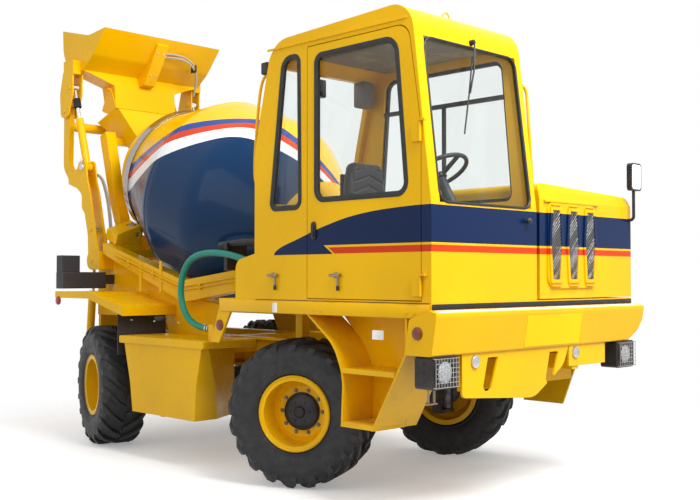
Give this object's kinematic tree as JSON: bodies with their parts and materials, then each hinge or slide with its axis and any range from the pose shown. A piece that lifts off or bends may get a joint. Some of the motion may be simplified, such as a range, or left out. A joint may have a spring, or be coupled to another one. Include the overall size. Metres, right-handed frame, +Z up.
{
  "type": "self-loading concrete mixer",
  "caption": "Four-wheel self-loading concrete mixer with tilted drum, rear loading arm and bucket, offset cab and side engine hood.",
  "frame": {"origin": "bottom centre of the whole machine's bounding box as it parks, on the floor", "axes": "+X forward, towards the bumper; +Y left; +Z up"},
  "size_m": [5.5, 2.6004, 4.06],
  "materials": {
    "bare_steel": "satin",
    "black_plastic": "matte",
    "black_rubber": "matte",
    "cast_steel": "matte",
    "dark_grey_paint": "satin",
    "drum_paint": "gloss",
    "hose_green": "satin",
    "lamp_plastic": "gloss",
    "seat_fabric": "matte",
    "tyre_rubber": "matte",
    "window_glass": "gloss",
    "yellow_paint": "gloss"
  },
  "bodies": {
    "machine": {"axles": "dark_grey_paint", "cab_deck": "yellow_paint", "cab_glass": "window_glass", "cab_roof": "yellow_paint", "cab_shell": "yellow_paint", "chassis_frame": "yellow_paint", "dashboard": "black_plastic", "drum_cradle": "yellow_paint", "drum_gearbox": "dark_grey_paint", "engine_block": "dark_grey_paint", "engine_bulkhead": "dark_grey_paint", "front_bumper": "yellow_paint", "front_steps": "yellow_paint", "fuel_tank": "yellow_paint", "head_lamps": "lamp_plastic", "loading_hopper": "yellow_paint", "mud_flaps": "black_rubber", "pump_pipe": "black_plastic", "rear_fenders": "yellow_paint", "rear_lamps": "lamp_plastic", "roller_boxes": "yellow_paint", "seat_base": "black_plastic", "seat_cushions": "seat_fabric", "suction_hose": "hose_green", "water_tank": "yellow_paint"},
    "drum_body": {"drum": "drum_paint"},
    "boom_body": {"boom": "yellow_paint"},
    "bucket_body": {"bucket": "yellow_paint"},
    "gate_body": {"bucket_gate": "yellow_paint"},
    "lift_barrel_body": {"lift_barrels": "yellow_paint"},
    "lift_rod_body": {"lift_rods": "bare_steel"},
    "tilt_barrel_body": {"tilt_barrels": "yellow_paint"},
    "tilt_rod_body": {"tilt_rods": "bare_steel"},
    "chute_body": {"discharge_chute": "yellow_paint"},
    "door_body": {"cab_door": "yellow_paint", "door_glass": "window_glass"},
    "hood_body": {"engine_hood": "yellow_paint", "mirror": "black_plastic"},
    "steering_wheel_body": {"steering_wheel": "black_plastic"},
    "roller_right_body": {"roller_right": "bare_steel"},
    "roller_left_body": {"roller_left": "bare_steel"},
    "knuckle_front_right_body": {"knuckle_front_right": "cast_steel"},
    "wheel_front_right_body": {"rim_front_right": "yellow_paint", "tyre_front_right": "tyre_rubber"},
    "knuckle_front_left_body": {"knuckle_front_left": "cast_steel"},
    "wheel_front_left_body": {"rim_front_left": "yellow_paint", "tyre_front_left": "tyre_rubber"},
    "knuckle_rear_right_body": {"knuckle_rear_right": "cast_steel"},
    "wheel_rear_right_body": {"rim_rear_right": "yellow_paint", "tyre_rear_right": "tyre_rubber"},
    "knuckle_rear_left_body": {"knuckle_rear_left": "cast_steel"},
    "wheel_rear_left_body": {"rim_rear_left": "yellow_paint", "tyre_rear_left": "tyre_rubber"}
  },
  "joints": [
    {"name": "drum_spin", "type": "hinge", "parent": "machine", "child": "drum_body", "pos_m": [-0.27, 0, 2.07], "axis": [0.9466, 0, -0.3223], "continuous": true},
    {"name": "roller_right_spin", "type": "hinge", "parent": "machine", "child": "roller_right_body", "pos_m": [-1.77783, -0.46544, 1.954], "axis": [0.9466, 0, -0.3223], "continuous": true},
    {"name": "roller_left_spin", "type": "hinge", "parent": "machine", "child": "roller_left_body", "pos_m": [-1.77783, 0.46544, 1.954], "axis": [0.9466, 0, -0.3223], "continuous": true},
    {"name": "boom_lift", "type": "hinge", "parent": "machine", "child": "boom_body", "pos_m": [-1.975, 0, 1.68], "axis": [0, -1, 0], "range_deg": [0, 128]},
    {"name": "bucket_tilt", "type": "hinge", "parent": "boom_body", "child": "bucket_body", "pos_m": [-2.56, 0, 3.2], "axis": [0, -1, 0], "range_deg": [-38, 25]},
    {"name": "gate_swing", "type": "hinge", "parent": "bucket_body", "child": "gate_body", "pos_m": [-2.37, 0, 3.45], "axis": [0, -1, 0], "range_deg": [0, 55]},
    {"name": "lift_barrel_swing", "type": "hinge", "parent": "machine", "child": "lift_barrel_body", "pos_m": [-2.149, 0, 0.695], "axis": [0, -1, 0], "range_deg": [0, 13.16]},
    {"name": "lift_rod_slide", "type": "slide", "parent": "lift_barrel_body", "child": "lift_rod_body", "axis": [0.0926, 0, 0.9957], "range_m": [-0.49535, 0]},
    {"name": "tilt_barrel_swing", "type": "hinge", "parent": "boom_body", "child": "tilt_barrel_body", "pos_m": [-2.2, 0, 2.605], "axis": [0, -1, 0], "range_deg": [-7.47, 4.92]},
    {"name": "tilt_rod_slide", "type": "slide", "parent": "tilt_barrel_body", "child": "tilt_rod_body", "axis": [-0.3006, 0, 0.9538], "range_m": [-0.11677, 0.07682]},
    {"name": "chute_swing", "type": "hinge", "parent": "machine", "child": "chute_body", "pos_m": [-2.2, 0, 1.7], "axis": [0, 0, 1], "range_deg": [-20, 20]},
    {"name": "door_swing", "type": "hinge", "parent": "machine", "child": "door_body", "pos_m": [2.592, -1.206, 1.8], "axis": [0, 0, 1], "range_deg": [0, 80]},
    {"name": "hood_lift", "type": "hinge", "parent": "machine", "child": "hood_body", "pos_m": [1.12, 0.575, 2.07], "axis": [0, -1, 0], "range_deg": [0, 50]},
    {"name": "steering_wheel_turn", "type": "hinge", "parent": "machine", "child": "steering_wheel_body", "pos_m": [2.29, -0.65, 2.19], "axis": [-0.5, 0, 0.866], "range_deg": [-1200, 160]},
    {"name": "steer_front_right", "type": "hinge", "parent": "machine", "child": "knuckle_front_right_body", "pos_m": [1.135, -0.8, 0.5375], "axis": [0, 0, 1], "range_deg": [-60, 8]},
    {"name": "wheel_front_right_spin", "type": "hinge", "parent": "knuckle_front_right_body", "child": "wheel_front_right_body", "pos_m": [1.18541, -0.90336, 0.5375], "axis": [-0.4384, 0.8988, 0], "continuous": true},
    {"name": "steer_front_left", "type": "hinge", "parent": "machine", "child": "knuckle_front_left_body", "pos_m": [1.135, 0.8, 0.5375], "axis": [0, 0, 1], "range_deg": [-60, 8]},
    {"name": "wheel_front_left_spin", "type": "hinge", "parent": "knuckle_front_left_body", "child": "wheel_front_left_body", "pos_m": [1.08459, 0.90336, 0.5375], "axis": [-0.4384, 0.8988, 0], "continuous": true},
    {"name": "steer_rear_right", "type": "hinge", "parent": "machine", "child": "knuckle_rear_right_body", "pos_m": [-1.395, -0.8, 0.5375], "axis": [0, 0, 1], "range_deg": [-5.23, 39.23]},
    {"name": "wheel_rear_right_spin", "type": "hinge", "parent": "knuckle_rear_right_body", "child": "wheel_rear_right_body", "pos_m": [-1.42862, -0.90998, 0.5375], "axis": [0.2924, 0.9563, 0], "continuous": true},
    {"name": "steer_rear_left", "type": "hinge", "parent": "machine", "child": "knuckle_rear_left_body", "pos_m": [-1.395, 0.8, 0.5375], "axis": [0, 0, 1], "range_deg": [-5.23, 39.23]},
    {"name": "wheel_rear_left_spin", "type": "hinge", "parent": "knuckle_rear_left_body", "child": "wheel_rear_left_body", "pos_m": [-1.36138, 0.90998, 0.5375], "axis": [0.2924, 0.9563, 0], "continuous": true}
  ],
  "couplings": [
    {"joint": "steer_front_right", "follows": "steering_wheel_turn", "ratio": 0.05},
    {"joint": "steer_front_left", "follows": "steering_wheel_turn", "ratio": 0.05},
    {"joint": "steer_rear_right", "follows": "steering_wheel_turn", "ratio": -0.032692},
    {"joint": "steer_rear_left", "follows": "steering_wheel_turn", "ratio": -0.032692},
    {"joint": "lift_barrel_swing", "follows": "boom_lift", "ratio": 0.1028},
    {"joint": "lift_rod_slide", "follows": "boom_lift", "m_per_rad": -0.22173},
    {"joint": "tilt_barrel_swing", "follows": "bucket_tilt", "ratio": 0.1966},
    {"joint": "tilt_rod_slide", "follows": "bucket_tilt", "m_per_rad": 0.17606},
    {"joint": "roller_right_spin", "follows": "drum_spin", "ratio": -7.8353},
    {"joint": "roller_left_spin", "follows": "drum_spin", "ratio": -7.8353}
  ]
}
